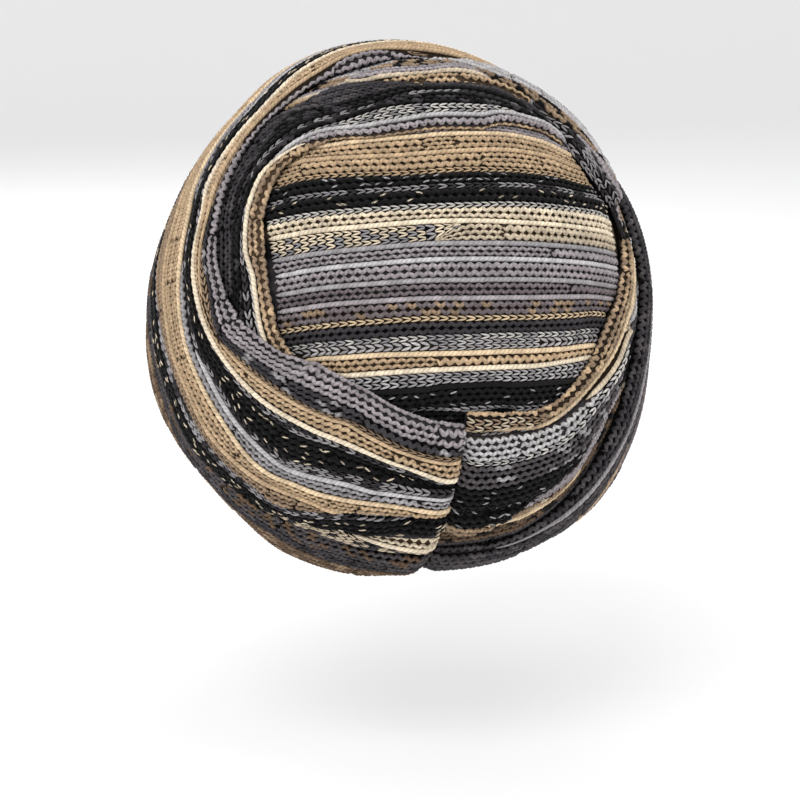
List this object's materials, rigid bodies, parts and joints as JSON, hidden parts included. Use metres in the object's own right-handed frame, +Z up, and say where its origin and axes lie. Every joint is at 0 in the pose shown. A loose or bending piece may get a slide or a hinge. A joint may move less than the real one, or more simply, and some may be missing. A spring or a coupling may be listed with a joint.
{
  "type": "turban headwrap",
  "caption": "Soft knitted turban headwrap with striped wraps wound and folded round a rounded crown panel and gathered at the nape.",
  "frame": {"origin": "in the plane of the head opening, straight below the middle of the wound form", "axes": "+Z up out of the crown, -Y where the wearer faces, +X the wearer's left"},
  "size_m": [0.2117, 0.228, 0.2148],
  "materials": {
    "crown_knit": "chunky striped knit in grey, cream, tan and black",
    "left_outer_knit": "chunky striped knit in tan, cream, grey and black",
    "left_inner_knit": "chunky knit, black with pale flecks",
    "right_knit": "chunky striped knit in greys and black",
    "right_lower_knit": "chunky striped knit in dark grey, tan and black",
    "left_roll_knit": "rolled knit edge, tan and light grey",
    "right_roll_knit": "turned knit edge, brown and cream",
    "seam_knit": "gathered dark knit"
  },
  "bodies": {
    "root": {"crown_cap": "crown_knit", "left_outer_wrap": "left_outer_knit", "left_inner_wrap": "left_inner_knit", "right_wrap": "right_knit", "right_lower_wrap": "right_lower_knit", "left_roll": "left_roll_knit", "right_roll": "right_roll_knit", "nape_seam": "seam_knit"}
  },
  "joints": []
}
